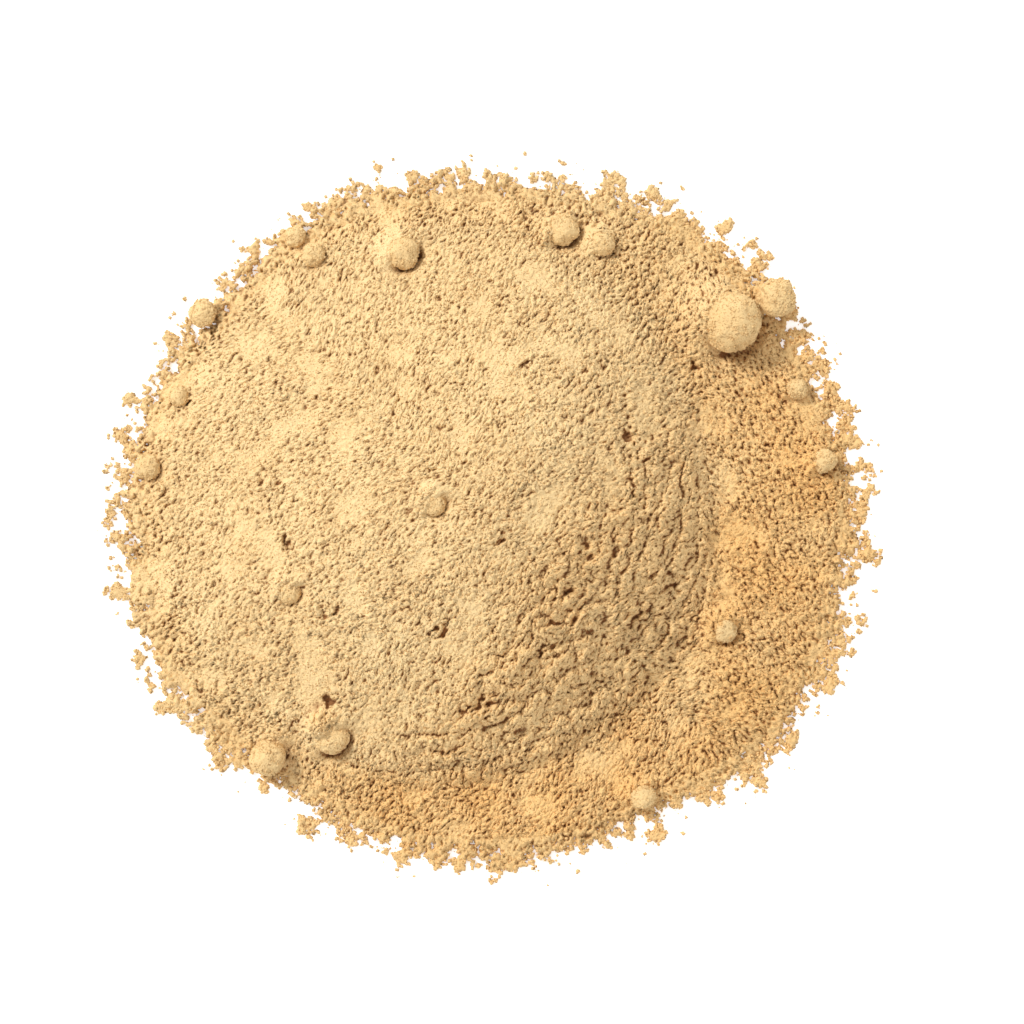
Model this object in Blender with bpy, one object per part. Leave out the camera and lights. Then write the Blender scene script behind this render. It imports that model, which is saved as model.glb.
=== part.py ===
"""A heap of ground ginger, tipped out on a flat surface.

The heap is one closed solid of loose powder with a flat underside: a broad round mound that falls
away steeply on one side, standing on a low apron. Caked lumps lie in seats pressed into it, and loose
crumbs lie round its rim. Metres, +Z up, origin at the bottom centre of the box round all of it.
"""

import math
import random

import bmesh
import bpy
from mathutils import Matrix, Vector, noise

MM = 0.001
GAP = 0.3 * MM  # between a lump and its seat, and between neighbours

# Rim of the heap, seen from above
RIM_RADIUS = 41.5 * MM
RIM_LOBES = (  # lobes round the rim, depth, direction of the first lobe in degrees
    (2, 1.6 * MM, 0),
    (3, 0.3 * MM, -45),
    (5, 0.45 * MM, -25),
    (7, 0.35 * MM, 10),
    (9, 0.3 * MM, 5),
)
EDGE_HEIGHT = 0.9 * MM  # the rim ends in a low edge of powder
EDGE_SHARPNESS = 26  # the higher, the narrower the band in which that edge drops to the surface

# Low apron of powder under and beyond the mound
APRON_HEIGHT = 2.0 * MM

# Mound: its foot is a circle, and its peak stands off the circle's centre, nearer the steep side
FOOT_CENTRE = Vector((-9.0, 3.0)) * MM
FOOT_RADIUS = 35.0 * MM
PEAK = Vector((-1.0, 2.5)) * MM
MOUND_HEIGHT = 12.0 * MM
STEEP_SIDE = math.radians(-42)  # the way the steep flank faces
PLAIN_CURVE, STEEP_CURVE = 1.35, 1.95  # 1 is a straight cone, 2 a round dome
FOOT_BLEND = 0.5 * MM  # how softly the mound runs out into the apron
SWELL = 0.5 * MM  # slow unevenness of the surface
SWELL_WAVES = 95.0  # per metre

# Mesh fineness
HEAP_SPOKES = 84
HEAP_RINGS = 17
LUMP_FACETS, SMALL_LUMP_FACETS, CRUMB_FACETS = 3, 2, 2
SMALL_LUMP = 3.2 * MM

# Caked lumps: x, y, diameter in millimetres, and how far the centre stands above the powder, as a
# share of the lump's radius
LUMPS = (
    (28.6, 23.4, 7.0, 0.72),
    (33.9, 26.2, 4.5, 0.60),
    (8.4, 34.4, 3.6, 0.35),
    (13.1, 32.8, 3.0, 0.30),
    (-10.6, 31.7, 3.9, 0.30),
    (-23.6, 33.7, 2.6, 0.35),
    (-21.4, 31.4, 2.8, 0.35),
    (-34.6, 24.5, 3.2, 0.40),
    (-37.4, 14.6, 2.4, 0.20),
    (-41.3, 6.1, 3.0, 0.45),
    (-26.8, -28.6, 4.2, 0.45),
    (-19.2, -26.2, 4.0, 0.15),
    (-24.1, -8.8, 2.8, -0.10),
    (-6.8, 1.8, 2.9, -0.25),
    (27.8, -13.4, 3.1, 0.30),
    (18.1, -33.4, 2.9, 0.10),
    (39.8, 6.8, 2.8, 0.30),
    (36.5, 15.4, 2.4, 0.10),
)
LUMP_ROUGHNESS = 0.05  # of the radius
UNDER_LUMP = 0.6 * MM  # powder that stays under every lump

# Loose crumbs, spread round the rim
CRUMBS = 41
CRUMB_SIZES = (1.2 * MM, 2.6 * MM)
CRUMB_STRAY = (0.6 * MM, 1.7 * MM)  # clear distance from the rim
CRUMB_TURN = 0.35  # of the even spacing, how far a crumb strays along the rim
CRUMB_ROUGHNESS = 0.28
CRUMB_HEIGHT = 0.62  # of its width
CRUMB_SUNK = 0.3  # share of its height that the surface takes off, as a flat underside
FARTHEST_CRUMBS = (  # direction in degrees, distance from the centre, diameter
    (3, 44.6 * MM, 1.8 * MM),
    (88, 40.9 * MM, 1.6 * MM),
    (183, 44.4 * MM, 1.9 * MM),
    (272, 41.0 * MM, 1.7 * MM),
)
SEED = 7

POWDER = ("ginger_powder", (0.72, 0.50, 0.24, 1.0), 0.95)
CAKED = ("caked_powder", (0.74, 0.52, 0.26, 1.0), 0.9)
LOOSE = ("loose_crumbs", (0.70, 0.46, 0.20, 1.0), 0.95)


def clear_scene():
    for obj in list(bpy.data.objects):
        bpy.data.objects.remove(obj, do_unlink=True)


def new_collection(name):
    collection = bpy.data.collections.new(name)
    bpy.context.scene.collection.children.link(collection)
    return collection


def new_material(name, colour, roughness):
    material = bpy.data.materials.new(name)
    material.use_nodes = True
    shader = material.node_tree.nodes["Principled BSDF"]
    shader.inputs["Base Color"].default_value = colour
    shader.inputs["Roughness"].default_value = roughness
    shader.inputs["Metallic"].default_value = 0.0
    return material


def rim_radius(angle):
    """Distance from the centre to the rim of the heap in this direction."""
    radius = RIM_RADIUS
    for count, depth, first in RIM_LOBES:
        radius += depth * math.cos(count * (angle - math.radians(first)))
    return radius


def reach_to_foot(way):
    """Distance from the peak to the circle of the mound's foot, along a unit vector."""
    offset = PEAK - FOOT_CENTRE
    along = offset.dot(way)
    return -along + math.sqrt(along * along + FOOT_RADIUS * FOOT_RADIUS - offset.length_squared)


def mound_height(point):
    """Height of the mound above the apron, falling softly to nothing at its foot."""
    out = point - PEAK
    if out.length < 1e-9:
        return MOUND_HEIGHT
    way = out.normalized()
    turn = math.atan2(way.y, way.x) - STEEP_SIDE
    curve = PLAIN_CURVE + (STEEP_CURVE - PLAIN_CURVE) * (0.5 + 0.5 * math.cos(turn)) ** 1.5
    share = out.length / reach_to_foot(way)
    height = MOUND_HEIGHT * (1 - share**curve)
    return (height + math.hypot(height, FOOT_BLEND)) / 2


def heap_height(point):
    """Height of the powder at this point of the plan, 0 on and beyond the rim."""
    share = point.length / rim_radius(math.atan2(point.y, point.x))
    if share >= 1:
        return 0.0
    apron = EDGE_HEIGHT + APRON_HEIGHT * (1 - share * share)
    swell = SWELL * noise.noise(Vector((point.x, point.y, 0.3)) * SWELL_WAVES)
    edge = math.sqrt(1 - share**EDGE_SHARPNESS)
    return (apron + mound_height(point) + swell) * edge


def object_from(bm, name, collection, material=None):
    mesh = bpy.data.meshes.new(name)
    bm.to_mesh(mesh)
    bm.free()
    mesh.shade_smooth()
    obj = bpy.data.objects.new(name, mesh)
    if material:
        mesh.materials.append(material)
    collection.objects.link(obj)
    return obj


def make_heap(collection, material):
    """Upper half of a sphere, spread over the plan of the heap and raised to its height."""
    bm = bmesh.new()
    bmesh.ops.create_uvsphere(bm, u_segments=HEAP_SPOKES, v_segments=2 * HEAP_RINGS, radius=1.0)
    everything = bm.verts[:] + bm.edges[:] + bm.faces[:]
    bmesh.ops.bisect_plane(
        bm, geom=everything, dist=1e-4, plane_co=(0, 0, 0), plane_no=(0, 0, -1), clear_outer=True
    )
    bmesh.ops.holes_fill(bm, edges=[edge for edge in bm.edges if edge.is_boundary], sides=0)
    for vert in bm.verts:
        flat = vert.co.xy
        down = math.atan2(flat.length, max(vert.co.z, 0.0)) / (math.pi / 2)
        on_rim = down > 0.999
        share = 1.0 if on_rim else 0.45 * down + 0.55 * math.sin(down * math.pi / 2)
        angle = math.atan2(flat.y, flat.x)
        plan = Vector((math.cos(angle), math.sin(angle))) * share * rim_radius(angle)
        vert.co = plan.to_3d()
        vert.co.z = 0.0 if on_rim else heap_height(plan)
    bmesh.ops.recalc_face_normals(bm, faces=bm.faces[:])
    return object_from(bm, "powder_heap", collection, material)


def rough_ball(radius, facets, roughness, seed):
    """A sphere of faceted powder, its surface pushed in and out by seeded noise."""
    bm = bmesh.new()
    bmesh.ops.create_icosphere(bm, subdivisions=facets, radius=1.0)
    drift = Vector((seed * 3.7, seed * 1.3, seed * 2.1))
    for vert in bm.verts:
        vert.co *= radius * (1 + roughness * noise.noise(vert.co * 1.4 + drift))
    return bm


def lump_place(x, y, diameter, stand):
    """Centre of a lump: over the powder by a share of its radius, and clear of the heap's underside."""
    radius = diameter * MM / 2
    over = heap_height(Vector((x, y)) * MM) + stand * radius
    return Vector((x * MM, y * MM, max(over, radius * (1 + LUMP_ROUGHNESS) + UNDER_LUMP)))


def add_lump(index, size, collection, cutters, material):
    """One lump, and the slightly larger ball that presses its seat into the heap."""
    x, y, diameter, stand = size
    facets = SMALL_LUMP_FACETS if diameter * MM < SMALL_LUMP else LUMP_FACETS
    place = Matrix.Translation(lump_place(x, y, diameter, stand))
    for group, grow, name in ((collection, 0.0, f"lump_{index:02d}"), (cutters, GAP, f"seat_{index:02d}")):
        bm = rough_ball(diameter * MM / 2 + grow, facets, LUMP_ROUGHNESS, index)
        bm.transform(place)
        obj = object_from(bm, name, group, material if group is collection else None)
        if group is cutters:
            obj.hide_render = True
            obj.display_type = "WIRE"


def press_seats(heap, cutters):
    """Cuts every lump's seat out of the heap."""
    seats = heap.modifiers.new("seats", "BOOLEAN")
    seats.operation = "DIFFERENCE"
    seats.operand_type = "COLLECTION"
    seats.collection = cutters
    seats.solver = "EXACT"


def crumb_places():
    """Directions, distances and sizes of the crumbs, clear of the heap, the lumps and each other."""
    draw = random.Random(SEED)
    places = [(math.radians(degrees), away, size) for degrees, away, size in FARTHEST_CRUMBS]
    spacing = 2 * math.pi / (CRUMBS - len(places))
    for step in range(CRUMBS - len(places)):
        angle = (step + 0.5 + draw.uniform(-CRUMB_TURN, CRUMB_TURN)) * spacing
        size = draw.uniform(*CRUMB_SIZES)
        away = rim_radius(angle) + size / 2 + draw.uniform(*CRUMB_STRAY)
        places.append((angle, away, size))
    return [place for index, place in enumerate(places) if is_clear(place, places[:index])]


def is_clear(place, others):
    """True if a crumb here touches no lump and none of the crumbs placed before it."""
    angle, away, size = place
    spot = Vector((math.cos(angle), math.sin(angle))) * away
    round_it = [(Vector((x, y)) * MM, diameter * MM) for x, y, diameter, _ in LUMPS]
    round_it += [(Vector((math.cos(a), math.sin(a))) * d, s) for a, d, s in others]
    reach = 1 + CRUMB_ROUGHNESS
    return all((spot - other).length > (size + width) / 2 * reach + GAP for other, width in round_it)


def add_crumb(index, place, collection, material):
    """One crumb of powder, wider than high, flat where it rests."""
    angle, away, size = place
    bm = rough_ball(size / 2, CRUMB_FACETS, CRUMB_ROUGHNESS, index + 50)
    height = size * CRUMB_HEIGHT
    spread = 0.8 + 0.2 * math.sin(index * 2.4)
    bm.transform(Matrix.Diagonal((1.0, spread, CRUMB_HEIGHT, 1.0)))
    bm.transform(Matrix.Rotation(index * 1.9, 4, "Z"))
    lowest = height * (CRUMB_SUNK - 0.5)
    for vert in bm.verts:
        vert.co.z = max(vert.co.z, lowest) - lowest
    bm.transform(Matrix.Translation((away * math.cos(angle), away * math.sin(angle), 0.0)))
    object_from(bm, f"crumb_{index:02d}", collection, material)


def centre_on_origin(objects):
    """Slides everything in the plane so that the middle of the box round the pieces is at the origin."""
    shown = [obj for obj in objects if not obj.hide_render]
    corners = [vert.co for obj in shown for vert in obj.data.vertices]
    middle = [(max(c[axis] for c in corners) + min(c[axis] for c in corners)) / 2 for axis in (0, 1)]
    slide = Matrix.Translation((-middle[0], -middle[1], 0.0))
    for obj in objects:
        obj.data.transform(slide)


def main():
    clear_scene()
    pieces = new_collection("ground_ginger_heap")
    cutters = new_collection("lump_seats")
    heap = make_heap(pieces, new_material(*POWDER))
    caked = new_material(*CAKED)
    for index, size in enumerate(LUMPS, 1):
        add_lump(index, size, pieces, cutters, caked)
    press_seats(heap, cutters)
    loose = new_material(*LOOSE)
    for index, place in enumerate(crumb_places(), 1):
        add_crumb(index, place, pieces, loose)
    centre_on_origin(list(bpy.data.objects))


main()
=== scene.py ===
"""The looks of a heap of ground ginger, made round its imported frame.

The powder's surface, the caked lumps in it, the lace of loose crumbs round its rim and the fine grains
that lie over them all are meshes made here. Each rides on the frame's one body. All keep to the frame's
box, but for the outermost loose powder, which reaches two millimetres past it.
"""

import logging
import math
from dataclasses import dataclass, field
from enum import Enum

import bmesh
import bpy
import numpy as np
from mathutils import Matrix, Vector, noise
from mathutils.bvhtree import BVHTree


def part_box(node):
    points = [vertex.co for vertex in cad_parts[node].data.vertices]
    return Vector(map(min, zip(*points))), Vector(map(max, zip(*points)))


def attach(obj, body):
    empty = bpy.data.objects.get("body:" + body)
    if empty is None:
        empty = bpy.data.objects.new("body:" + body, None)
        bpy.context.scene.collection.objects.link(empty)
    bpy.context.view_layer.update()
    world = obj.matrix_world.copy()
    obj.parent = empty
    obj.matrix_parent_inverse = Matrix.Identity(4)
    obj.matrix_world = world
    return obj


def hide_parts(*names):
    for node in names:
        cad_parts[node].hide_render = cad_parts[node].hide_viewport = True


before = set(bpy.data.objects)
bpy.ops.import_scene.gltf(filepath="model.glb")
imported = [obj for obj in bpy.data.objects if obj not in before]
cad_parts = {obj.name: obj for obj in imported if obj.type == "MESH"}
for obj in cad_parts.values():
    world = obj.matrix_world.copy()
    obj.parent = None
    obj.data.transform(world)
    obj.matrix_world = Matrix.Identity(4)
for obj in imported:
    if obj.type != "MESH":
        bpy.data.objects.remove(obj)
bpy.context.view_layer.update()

MM = 0.001
BODY = "root"
HEAP_NODE = "powder_heap"
LUMP_NODES = sorted(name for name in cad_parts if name.startswith("lump_"))
CRUMB_NODES = sorted(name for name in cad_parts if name.startswith("crumb_"))
STEEP_SIDE = math.radians(-42)  # the way the steep flank faces
SLIDE = (-0.18, 0.31)  # millimetres, from the point that spots are measured from to the frame's middle
Colour = tuple[float, float, float]
Layers = tuple[tuple[float, float], ...]  # size and share of each layer of noise
log = logging.getLogger("ginger_heap")


class Slot(Enum):
    """The record's material slots."""

    HEAP = "ginger_powder"
    CAKED = "caked_powder"
    LOOSE = "loose_powder"


class Mark(Enum):
    """Values that the meshes carry for their materials, one number a vertex."""

    PAINTED_HOLLOW_SHADE = "hollow_shade_share"  # painted shade: 0 on the open surface, 1 low in a pit or a crack
    TINT = "tint"  # 0 dark to 1 pale, one value for a whole grain
    WARMTH = "warmth"  # 1 where thin apron powder looks more orange; some painted warm shade on the steep flank


def smoothstep(low: float, high: float, value: np.ndarray) -> np.ndarray:
    """Soft step from 0 at low to 1 at high.

    Args:
        low: Value at which the step starts.
        high: Value at which the step ends.
        value: Values to step.

    Returns:
        The stepped values.
    """
    share = np.clip((value - low) / (high - low), 0.0, 1.0)
    return share * share * (3 - 2 * share)


def noise_at(points: np.ndarray, size: float, seed: float) -> np.ndarray:
    """Smooth noise, about -1 to 1.

    Args:
        points: Places, one row of three each.
        size: Distance over which the noise changes.
        seed: Moves the pattern.

    Returns:
        One value a place.
    """
    shifted = points / size + (seed * 17.3, seed * 5.9, seed * 11.1)
    return np.fromiter((noise.noise(place) for place in shifted.tolist()), float, len(points))


def layers_at(points: np.ndarray, layers: Layers, seed: float) -> np.ndarray:
    """Noise of several sizes, added up.

    Args:
        points: Places, one row of three each.
        layers: Size and share of each layer.
        seed: Moves the first layer's pattern; each further layer has the next seed.

    Returns:
        One value a place.
    """
    return sum(share * noise_at(points, size, seed + index) for index, (size, share) in enumerate(layers))


def billows_at(points: np.ndarray, size: float, seed: float) -> np.ndarray:
    """Rounded clods with sharp creases between them, 0 in a crease to 1 on top.

    Args:
        points: Places, one row of three each.
        size: Breadth of a clod.
        seed: Moves the pattern.

    Returns:
        One value a place.
    """
    coarse = np.abs(noise_at(points, size, seed))
    fine = np.abs(noise_at(points, size / 2.1, seed + 1))
    return np.clip(1.5 * coarse + 0.7 * fine, 0.0, 1.0) ** 0.7


def blurred(grid: np.ndarray, spread: float) -> np.ndarray:
    """The grid smoothed along both of its axes.

    Args:
        grid: Values to smooth.
        spread: Standard deviation of the blur, in cells.

    Returns:
        The smoothed grid.
    """
    reach = math.ceil(3 * spread)
    bell = np.exp(-0.5 * (np.arange(-reach, reach + 1) / spread) ** 2)
    bell /= bell.sum()
    for axis in (0, 1):
        ends = [(reach, reach) if axis == side else (0, 0) for side in (0, 1)]
        padded = np.pad(grid, ends, mode="edge")
        grid = np.apply_along_axis(np.convolve, axis, padded, bell, "valid")
    return grid


def flat_points(x: np.ndarray, y: np.ndarray) -> np.ndarray:
    """Rows of three from the two coordinates of the plan, with a height of 0."""
    return np.stack([x, y, np.zeros_like(x)], axis=1)


def read_places(mesh: bpy.types.Mesh) -> np.ndarray:
    """Reads where every vertex of a mesh lies.

    Args:
        mesh: Mesh to read.

    Returns:
        The places, one row of three each.
    """
    found = np.empty(len(mesh.vertices) * 3, np.float32)
    mesh.vertices.foreach_get("co", found)
    return found.reshape(-1, 3).astype(float)


def write_mark(mesh: bpy.types.Mesh, mark: Mark, values: np.ndarray) -> None:
    """Gives the mesh one number a vertex under the mark's name.

    Args:
        mesh: Mesh that gets the numbers.
        mark: Which of the marks they are.
        values: One number a vertex.
    """
    attribute = mesh.attributes.new(mark.value, "FLOAT", "POINT")
    attribute.data.foreach_set("value", values.astype(np.float32))


def ball_of(node: str) -> tuple[Vector, float]:
    """Middle and mean radius of one of the frame's round nodes.

    Args:
        node: The node's name.

    Returns:
        The middle and the radius.
    """
    low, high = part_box(node)
    return (low + high) / 2, (high - low).length / (2 * math.sqrt(3))


def add_piece(name: str, mesh: bpy.types.Mesh, finish: bpy.types.Material) -> bpy.types.Object:
    """Puts a finished mesh in the scene as a piece of the heap.

    Args:
        name: The piece's name.
        mesh: Its mesh, in place.
        finish: Its material.

    Returns:
        The piece's object.
    """
    mesh.materials.append(finish)
    mesh.shade_smooth()
    piece = bpy.data.objects.new(name, mesh)
    bpy.context.scene.collection.objects.link(piece)
    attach(piece, BODY)
    log.info("%s: %d faces", name, len(mesh.polygons))
    return piece


@dataclass
class PowderForm:
    """Height and rim of the powder, read from the frame's heap."""

    step: float = 0.5 * MM  # spacing of the height samples
    blur: float = 1.1 * MM  # rounds the frame's facets off
    margin: float = 3.0 * MM  # of the samples, round the heap
    slope_reach: float = 1.5 * MM  # the slope is taken over this far to each side
    heights: np.ndarray = field(init=False)
    low: Vector = field(init=False)

    def __post_init__(self) -> None:
        """Reads the heap from the frame."""
        shape = bmesh.new()
        shape.from_mesh(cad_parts[HEAP_NODE].data)
        bmesh.ops.remove_doubles(shape, verts=shape.verts, dist=1e-6)
        self._read_rim(shape)
        self._read_heights(shape)
        shape.free()

    def _read_rim(self, shape: bmesh.types.BMesh) -> None:
        """Keeps the direction and distance of every vertex of the heap's foot.

        Args:
            shape: The frame's heap.
        """
        foot = np.array([vert.co.xy for vert in shape.verts if vert.co.z < 1e-5])
        turns = np.arctan2(foot[:, 1], foot[:, 0])
        order = np.argsort(turns)
        self.rim_turns = turns[order]
        self.rim_reach = np.hypot(foot[:, 0], foot[:, 1])[order]

    def _read_heights(self, shape: bmesh.types.BMesh) -> None:
        """Drops rays on the heap over a grid and smooths the heights inside its rim.

        Args:
            shape: The frame's heap.
        """
        tree = BVHTree.FromBMesh(shape)
        low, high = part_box(HEAP_NODE)
        self.low = low - Vector((self.margin, self.margin, 0))
        count = [math.ceil((high[axis] + self.margin - self.low[axis]) / self.step) for axis in (0, 1)]
        found = np.zeros(count)
        for i in range(count[0]):
            for j in range(count[1]):
                start = Vector((self.low.x + i * self.step, self.low.y + j * self.step, 1.0))
                hit = tree.ray_cast(start, Vector((0, 0, -1)))[0]
                found[i, j] = hit.z if hit else 0.0
        spread = self.blur / self.step
        weight = blurred((found > 0).astype(float), spread)
        self.heights = blurred(found, spread) / np.maximum(weight, 1e-6)

    def rim(self, turn: np.ndarray) -> np.ndarray:
        """Distance from the centre to the rim in each direction."""
        return np.interp(turn, self.rim_turns, self.rim_reach, period=2 * math.pi)

    def height(self, x: np.ndarray, y: np.ndarray) -> np.ndarray:
        """Height of the smooth powder, without the edge at its rim.

        Args:
            x: First coordinate of the plan.
            y: Second coordinate.

        Returns:
            Heights over the surface that the heap rests on.
        """
        across = np.clip((x - self.low.x) / self.step, 0, self.heights.shape[0] - 1.001)
        along = np.clip((y - self.low.y) / self.step, 0, self.heights.shape[1] - 1.001)
        i, j = across.astype(int), along.astype(int)
        right, up = across - i, along - j
        near = self.heights[i, j] * (1 - up) + self.heights[i, j + 1] * up
        far = self.heights[i + 1, j] * (1 - up) + self.heights[i + 1, j + 1] * up
        return near * (1 - right) + far * right

    def steepness(self, x: np.ndarray, y: np.ndarray) -> np.ndarray:
        """Slope towards the steep side, as rise over run.

        Args:
            x: First coordinate of the plan.
            y: Second coordinate.

        Returns:
            The slope, above 0 where the powder falls away to the steep side.
        """
        east, north = self.slope_reach * math.cos(STEEP_SIDE), self.slope_reach * math.sin(STEEP_SIDE)
        drop = self.height(x - east, y - north) - self.height(x + east, y + north)
        return drop / (2 * self.slope_reach)


@dataclass(frozen=True)
class Spot:
    """A long or round place on the powder, in millimetres and degrees."""

    x: float
    y: float
    length: float
    width: float
    turn: float
    rise: float  # below 0 for a pit or a crack

    def share(self, x: np.ndarray, y: np.ndarray, wander: np.ndarray) -> np.ndarray:
        """How much each place belongs to the spot.

        Args:
            x: First coordinate of the plan, in metres.
            y: Second coordinate, in metres.
            wander: Noise that makes the spot's outline uneven.

        Returns:
            1 in the middle of the spot, falling to 0 at its outline.
        """
        turn = math.radians(self.turn)
        east, north = x / MM - self.x - SLIDE[0], y / MM - self.y - SLIDE[1]
        along = (east * math.cos(turn) + north * math.sin(turn)) / (self.length / 2)
        across = (north * math.cos(turn) - east * math.sin(turn)) / (self.width / 2)
        return 1 - smoothstep(0.25, 1.1, np.hypot(along, across + 0.9 * wander) * (1 + 0.35 * wander))


@dataclass(frozen=True)
class LumpSeat:
    """How the powder lies round one caked lump: banked up on one side, open in a crack on the other."""

    centre: Vector
    radius: float
    bank: float = 1.12  # height of the bank, of the radius
    crack: float = 0.5
    small: float = 1.0 * MM  # a lump of this radius has hardly any crack
    large: float = 1.9 * MM  # and one of this radius the whole of it
    crack_side: float = math.radians(-48)  # the side on which the powder has come away

    def rise(self, x: np.ndarray, y: np.ndarray) -> np.ndarray:
        """Change of the powder's height round the lump.

        Args:
            x: First coordinate of the plan.
            y: Second coordinate.

        Returns:
            Heights to add.
        """
        east, north = x - self.centre.x, y - self.centre.y
        out = np.hypot(east, north) / self.radius
        away = np.cos(np.arctan2(north, east) - self.crack_side)
        bank = smoothstep(2.3, 0.8, out) * smoothstep(0.75, -0.5, away)
        crack = smoothstep(1.45, 1.05, out) * smoothstep(0.1, 0.8, away)
        depth = self.crack * (0.25 + 0.75 * float(smoothstep(self.small, self.large, self.radius)))
        return self.radius * (self.bank * bank - depth * crack)


def lump_seats() -> list[LumpSeat]:
    """A seat for every one of the frame's lumps."""
    return [LumpSeat(*ball_of(node)) for node in LUMP_NODES]


@dataclass
class Relief:
    """What the powder's surface does over its smooth form: clods, steps, crumbs, pits and cracks."""

    form: PowderForm
    seats: list[LumpSeat]
    steep_from: float = 0.2
    steep_to: float = 0.46
    lean: float = math.radians(52)  # crumbs and cracks run this way, but for those on the right
    lean_right: float = math.radians(-55)
    right_from: float = 23.5 * MM
    right_to: float = 26.0 * MM
    draw_out: float = 1.7  # how much longer than wide they are
    bend: float = 0.8 * MM  # how far noise pushes the pattern about
    bend_size: float = 2.6 * MM
    swell: float = 0.2 * MM
    swell_size: float = 7.0 * MM
    clods: float = 0.8 * MM
    clod_size: float = 0.95 * MM
    clod_cap: float = 0.42  # clods and crumbs are cut off flat above this
    crumb_cap: float = 0.4
    step_rise: float = 0.85 * MM
    step_run: float = 1.8 * MM
    step_length: float = 4.6 * MM
    crumb: float = 0.75 * MM
    crumb_size: float = 0.42 * MM
    dust: float = 0.36 * MM
    dust_size: float = 0.23 * MM
    pit: float = 0.55 * MM
    pit_size: float = 0.6 * MM
    pit_patch: float = 3.0 * MM  # pits gather in patches of about this size
    speck_size: float = 0.3 * MM
    patches: Layers = ((4.5 * MM, 1.0), (2.0 * MM, 0.5))  # where the powder lies pressed
    thin_from: float = 3.8 * MM  # powder lower than this is a little rougher
    thin_to: float = 2.4 * MM
    centre: tuple[float, float] = (-9.0 * MM, 3.0 * MM)  # the steps run round this point
    flank: float = 30.0 * MM  # from it to the flank
    outlines: Layers = ((1.1 * MM, 1.0), (0.5 * MM, 0.7))  # makes those of pits and knolls uneven
    gap_size: float = 0.7 * MM  # of the gaps that break up pits and cracks

    pits: tuple[Spot, ...] = (
        Spot(-24.2, -3.0, 2.8, 1.6, 80, -1.0),
        Spot(-19.1, -11.3, 3.6, 1.4, 20, -0.8),
        Spot(-21.0, 13.7, 4.6, 1.3, 24, -0.7),
        Spot(-19.4, -22.0, 2.4, 1.4, 40, -0.8),
        Spot(4.0, 18.5, 3.0, 1.6, 15, -0.7),
        Spot(10.8, 17.5, 1.7, 1.3, 60, -0.8),
        Spot(13.3, 18.4, 1.9, 1.5, 30, -0.9),
        Spot(24.1, 18.3, 2.0, 1.5, -50, -1.0),
        Spot(-20.0, 20.2, 2.8, 1.1, 35, -0.5),
        Spot(-36.9, 13.9, 2.2, 1.5, 80, -0.8),
        Spot(35.4, 14.6, 3.4, 1.4, 85, -0.8),
        Spot(16.2, 9.6, 7.5, 1.8, 87, -0.9),
        Spot(16.4, 3.0, 6.0, 1.6, 96, -0.8),
        Spot(1.0, -2.6, 4.2, 1.4, 45, -0.6),
        Spot(-6.2, -13.4, 5.2, 1.7, 47, -0.8),
        Spot(17.4, -12.4, 7.0, 1.8, 58, -0.9),
        Spot(11.8, -20.6, 6.0, 1.9, 52, -0.9),
        Spot(5.2, -16.4, 5.0, 1.6, 44, -0.8),
        Spot(-1.4, -22.4, 6.4, 1.8, 30, -0.8),
        Spot(21.4, -8.0, 4.4, 1.5, 62, -0.8),
        Spot(8.4, -9.4, 4.8, 1.5, 50, -0.7),
        Spot(11.0, -3.2, 4.6, 1.4, 62, -0.6),
    )
    knolls: tuple[Spot, ...] = (
        Spot(-24.8, 15.4, 5.4, 2.4, 24, 0.55),
        Spot(2.6, -18.2, 4.2, 3.6, 30, 0.6),
        Spot(29.4, 10.6, 3.6, 2.2, 10, 0.2),
        Spot(21.1, -3.0, 2.0, 1.4, 45, 0.3),
        Spot(-5.0, 18.8, 2.6, 2.0, 20, 0.25),
        Spot(-24.0, 26.6, 2.2, 1.6, 0, 0.3),
        Spot(-31.6, 10.2, 2.4, 2.0, 60, 0.25),
        Spot(3.2, 24.6, 2.6, 2.0, 10, 0.3),
    )

    def steep(self, x: np.ndarray, y: np.ndarray) -> np.ndarray:
        """1 on the steep flank, 0 on the gentle side and the apron."""
        return smoothstep(self.steep_from, self.steep_to, self.form.steepness(x, y))

    def pressed(self, x: np.ndarray, y: np.ndarray) -> np.ndarray:
        """Where the powder lies pressed and smooth, with few crumbs.

        Args:
            x: First coordinate of the plan.
            y: Second coordinate.

        Returns:
            1 in such a patch, 0 outside.
        """
        wide = layers_at(flat_points(x, y), self.patches, 21)
        return smoothstep(0.1, 0.5, wide) * (1 - 0.8 * self.steep(x, y))

    def _leaning(self, plan: np.ndarray, size: float, seed: float) -> np.ndarray:
        """Noise drawn out along the way that the crumbs lean.

        Args:
            plan: Places of the plan.
            size: Distance over which it changes across the lean.
            seed: Moves the pattern.

        Returns:
            One value a place.
        """
        share = smoothstep(self.right_from, self.right_to, plan[:, 0])
        parts = []
        for lean, part in ((self.lean, share < 1), (self.lean_right, share > 0)):
            x, y = plan[part, 0], plan[part, 1]
            along = (x * math.cos(lean) + y * math.sin(lean)) / self.draw_out
            across = y * math.cos(lean) - x * math.sin(lean)
            values = np.zeros(len(plan))
            values[part] = noise_at(flat_points(along, across), size, seed)
            parts.append(values)
        return parts[0] * (1 - share) + parts[1] * share

    def at(self, x: np.ndarray, y: np.ndarray) -> np.ndarray:
        """How far each place of the plan rises over the smooth form.

        Args:
            x: First coordinate of the plan.
            y: Second coordinate.

        Returns:
            One height a place.
        """
        plan = flat_points(x, y)
        bend = flat_points(noise_at(plan, self.bend_size, 1), noise_at(plan, self.bend_size, 2)) * self.bend
        warped = plan + bend
        steep, pressed = self.steep(x, y), self.pressed(x, y)
        thin = smoothstep(self.thin_from, self.thin_to, self.form.height(x, y))
        rough = (0.84 + 0.32 * steep + 0.3 * thin) * (1 - 0.6 * pressed)

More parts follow.
